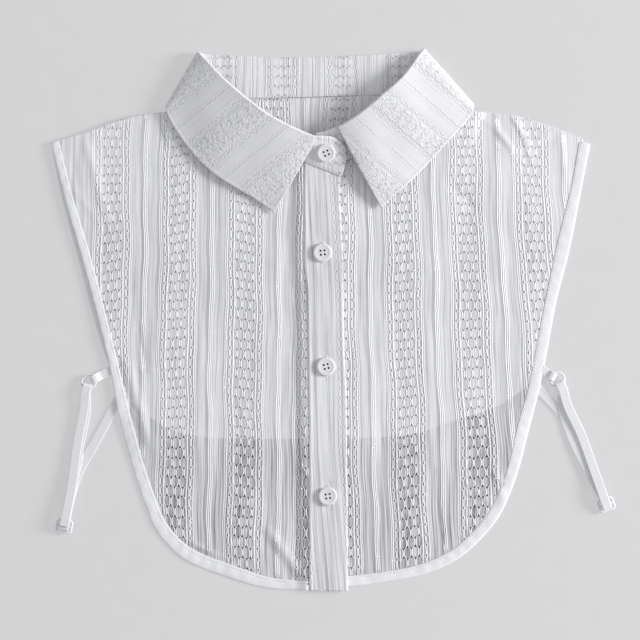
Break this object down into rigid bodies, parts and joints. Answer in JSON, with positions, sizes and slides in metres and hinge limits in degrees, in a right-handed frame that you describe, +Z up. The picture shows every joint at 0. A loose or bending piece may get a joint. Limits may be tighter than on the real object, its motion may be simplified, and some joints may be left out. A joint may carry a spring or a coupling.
{
  "type": "detachable shirt collar",
  "caption": "Detachable half-shirt collar in white lace-striped cotton, laid flat: pointed collar, buttoned placket, bound armholes and hem, adjustable side straps.",
  "frame": {"origin": "on the flat underside of the back panel, where the laid-out collar rests on the table, midway between the shoulder tips", "axes": "+Z up from the table, +Y from the hem to the neck, +X to the right of someone looking down at the front"},
  "size_m": [0.3961, 0.3792, 0.0163],
  "materials": {
    "cloth": "thin white cotton with woven stripes of open lace, matt",
    "tape": "narrow white ribbed elastic tape",
    "button": "white resin, soft gloss",
    "fitting": "white coated, soft gloss"
  },
  "bodies": {
    "root": {"front_left": "cloth", "front_right": "cloth", "back_panel": "cloth", "placket": "cloth", "binding_left": "cloth", "binding_right": "cloth", "binding_back": "cloth", "collar_stand": "cloth", "collar_leaf": "cloth", "button_1": "button", "button_2": "button", "button_3": "button", "button_4": "button", "tab_left": "tape", "ring_left": "fitting", "slider_left": "fitting", "strap_left": "tape", "tab_right": "tape", "ring_right": "fitting", "slider_right": "fitting", "strap_right": "tape"}
  },
  "joints": []
}
